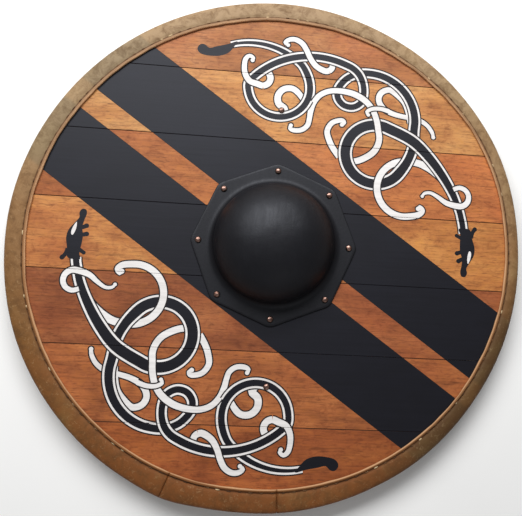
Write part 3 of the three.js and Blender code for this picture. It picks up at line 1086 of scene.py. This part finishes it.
def leather():
    """Waxed rawhide, pale tan at the shield's top and brown at its foot, the bands faintly showing, with
    painted shade towards the lower right and a painted highlight along the lip's edge.
    """
    s = Shader("waxed_rim_leather")
    clouds = s.noise(s.place, 11, 4, 0.65, 0.6)
    mottle = s.noise(s.place, 70, 5, 0.72, 0.5)
    creases = s.noise(s.place, 210, 4, 0.7, 1.2)
    x, y = s.axis("X"), s.axis("Y")
    height = s.math("ADD", s.math("MULTIPLY_ADD", y, 1.5, 0.28), s.math("MULTIPLY", clouds, 0.44))
    base = s.ramp(height, (0.1, srgb(124, 74, 34)), (0.32, srgb(124, 84, 42)), (0.52, srgb(140, 104, 66)),
                  (0.78, srgb(159, 132, 97)), (1.0, srgb(163, 136, 105)))
    # Painted shade: darker towards the lower right, where the rim's slope faces away from the light.
    shade = s.ramp(s.math("SUBTRACT", s.math("MULTIPLY", x, 0.82), s.math("MULTIPLY", y, 0.57)),
                   (0.26, 0.0), (0.3, 0.75))
    base = s.mix(shade, base, srgb(82, 56, 30))
    base = s.mix(s.ramp(mottle, (0.44, 0.0), (0.66, 0.62)), base, srgb(90, 60, 30))
    base = s.mix(s.ramp(clouds, (0.55, 0.0), (0.75, 0.3)), base, srgb(146, 118, 70))
    base = s.mix(s.ramp(creases, (0.58, 0.0), (0.7, 0.35)), base, srgb(190, 156, 112))
    tilt = math.radians(BAND_ANGLE)
    across = s.math("SUBTRACT", s.math("MULTIPLY", y, math.cos(tilt)), s.math("MULTIPLY", x, math.sin(tilt)))
    across = s.math("ABSOLUTE", s.math("ADD", across, -BAND_SHIFT * MM))
    band = s.ramp(s.math("MULTIPLY", across, 5), (0.07, 0.0), (0.09, 0.8), (0.51, 0.8), (0.53, 0.0))
    base = s.mix(band, base, srgb(224, 234, 244), "MULTIPLY")
    radius = s.math("MULTIPLY_ADD", s.radius(LIP_SHIFTS), 1 / RAMP_LENGTH, -RAMP_START / RAMP_LENGTH)
    lip = s.ramp(height, (0.1, srgb(126, 81, 44)), (0.4, srgb(158, 110, 70)), (0.75, srgb(153, 115, 84)))
    base = s.mix(s.ramp(radius, (0.22, 0.75), (0.26, 0.0)), base, lip)
    # Painted highlight: a cream line along the lip's inner edge, where it catches the light.
    base = s.mix(s.ramp(radius, (0.12, 0.8), (0.16, 0.0)), base, srgb(206, 160, 118))
    groove = s.ramp(radius, (0.225, 0.0), (0.255, 0.8), (0.29, 0.8), (0.33, 0.0))
    base = s.mix(groove, base, srgb(80, 46, 20))
    pores = s.noise(s.place, 900, 3, 0.6)
    return s.finish(Base_Color=base, Roughness=s.ramp(mottle, (0.3, 0.6), (0.7, 0.72)),
                    Specular_IOR_Level=0.25, Normal=s.bump(s.mix(0.3, creases, pores), 0.5, 0.001))


def thread():
    """Waxed linen thread, dark brown but for a pale stitch here and there."""
    s = Shader("waxed_thread")
    stitch_tone = s.noise(s.place, 52, 2)
    base = s.ramp(stitch_tone, (0.42, srgb(72, 44, 22)), (0.6, srgb(104, 72, 42)), (0.68, srgb(206, 182, 142)))
    twist = s.noise(s.place, 1500, 2)
    return s.finish(Base_Color=base, Roughness=0.7, Specular_IOR_Level=0.3, Normal=s.bump(twist, 0.5, 0.0003))


def floor_material():
    s = Shader("pale_floor")
    mottle = s.noise(s.place, 3, 3)
    base = s.ramp(mottle, (0.4, srgb(248, 248, 247)), (0.6, srgb(251, 251, 250)))
    return s.finish(Base_Color=base, Roughness=0.8)


# Making everything

# Each board's light, middle and dark tone, and how much lighter its left and right ends are: the boards' own
# staining, with painted shade set in towards the lower right, where the light falls off.
BOARD_TONES = {
    "board_1": (srgb(183, 124, 78), srgb(167, 107, 65), srgb(142, 90, 55), 1.0, 1.1),
    "board_2": (srgb(215, 159, 99), srgb(202, 141, 84), srgb(176, 114, 66), 0.85, 0.96),
    "board_3": (srgb(198, 126, 74), srgb(184, 112, 63), srgb(162, 94, 53), 0.82, 1.15),
    "board_4_left": (srgb(207, 145, 84), srgb(189, 123, 69), srgb(159, 96, 55), 1.0, 1.0),
    "board_4_right": (srgb(204, 138, 76), srgb(186, 118, 64), srgb(156, 92, 52), 1.0, 1.0),
    "board_5": (srgb(178, 109, 66), srgb(158, 90, 53), srgb(130, 71, 41), 0.84, 1.06),
    "board_6": (srgb(188, 116, 67), srgb(168, 98, 55), srgb(138, 78, 44), 1.08, 0.97),
    "board_7": (srgb(180, 106, 56), srgb(160, 88, 46), srgb(130, 68, 36), 1.0, 0.7),
}


def make_boards():
    holes = [(0, 0, HAND_HOLE_RADIUS, 96)]
    holes += [(*axis_of(node), DRILL_RADIUS - EASED_EDGE, 16) for node in BOSS_RIVETS + BAR_RIVETS]
    black = paint("black_paint", srgb(16, 15, 21), srgb(24, 24, 33), 0.52)
    white = paint("white_paint", srgb(236, 233, 231), srgb(222, 217, 214), 0.6, 0.2)
    line = paint("dark_outline", srgb(24, 18, 18), srgb(36, 26, 22), 0.6)
    # Dark brown for the boards' edges and sides: painted shade between the boards.
    seam_shade = paint("seam_painted_shade", srgb(84, 48, 27), srgb(108, 64, 36), 0.7)
    layers = painting()
    for i, node in enumerate(BOARDS):
        number = node.removeprefix("board_")
        wood = stained_wood("stained_wood_" + number, i + 1, *BOARD_TONES[node])
        back = plain_wood("plain_back_" + number, i + 1, srgb(196, 140, 88), srgb(156, 102, 58))
        make_board(node, layers, holes, [wood, black, white, line, seam_shade, back])


def make_rim():
    hide, linen = leather(), thread()
    spans = ("long", JOINT_NEAR_ANGLE, JOINT_FAR_ANGLE + 360), ("short", JOINT_FAR_ANGLE, JOINT_NEAR_ANGLE)
    for which, start, end in spans:
        make_rim_strip("rim_strip_" + which, start, end, hide)
        make_stitches(f"stitches_{which}_face", start, end, 1, linen)
        make_stitches(f"stitches_{which}_back", start, end, -1, linen)


def make_fastenings():
    metal = copper()
    for i, node in enumerate(BOSS_RIVETS + BAR_RIVETS):
        make_rivet(node, metal, i)
        make_rove(node.replace("rivet", "rove"), metal, i)


# Floor, light and camera

CAMERA_SPOT = Vector((-2.3, -124.5, 742.4 + FACE_Z))
CAMERA_TARGET = Vector((59.9, -23.0, FACE_Z))
CAMERA_ROLL = 2.55
CAMERA_LENS = 41.4
SENSOR_WIDTH = 36
CAMERA_SHIFT = -0.115, 0.0136
FLOOR_HALF = 6000


def make_camera():
    data = bpy.data.cameras.new("camera")
    data.lens, data.sensor_width, data.clip_start = CAMERA_LENS, SENSOR_WIDTH, 0.01
    data.shift_x, data.shift_y = CAMERA_SHIFT
    camera = add_object("camera", data)
    forward = (CAMERA_TARGET - CAMERA_SPOT).normalized()
    right = forward.cross(Vector((0, 1, 0))).normalized()
    upright = Matrix((right, right.cross(forward), -forward)).transposed()
    turned = (upright @ Matrix.Rotation(math.radians(CAMERA_ROLL), 3, "Z")).to_4x4()
    camera.matrix_world = Matrix.Translation(CAMERA_SPOT * MM) @ turned
    bpy.context.scene.camera = camera


def make_light(name, spot, width, depth, power):
    """A soft panel that faces the shield, in metres and watts."""
    data = bpy.data.lights.new(name, "AREA")
    data.shape, data.size, data.size_y, data.energy = "RECTANGLE", width, depth, power
    light = add_object(name, data)
    light.location = spot
    light.rotation_euler = (-Vector(spot)).to_track_quat("-Z", "Y").to_euler()


def make_stage():
    corners = [(x * FLOOR_HALF, y * FLOOR_HALF, -1) for x, y in ((-1, -1), (1, -1), (1, 1), (-1, 1))]
    floor = new_piece("floor", corners, [(0, 1, 2, 3)], [floor_material()])
    make_light("key", (-0.24, 1.0, 1.2), 1.7, 0.8, 34)
    make_light("low_fill", (0.6, -1.9, 1.5), 1.8, 0.8, 3)
    world = bpy.data.worlds.new("soft_light")
    world.use_nodes = True
    world.node_tree.nodes["Background"].inputs["Color"].default_value = (1, 1, 1, 1)
    world.node_tree.nodes["Background"].inputs["Strength"].default_value = 0.24
    bpy.context.scene.world = world
    bpy.context.scene.view_settings.view_transform = "Standard"


make_camera()
make_stage()
make_boards()
make_boss(black_steel())
make_fastenings()
make_rim()
make_grip_bar(bar_wood())
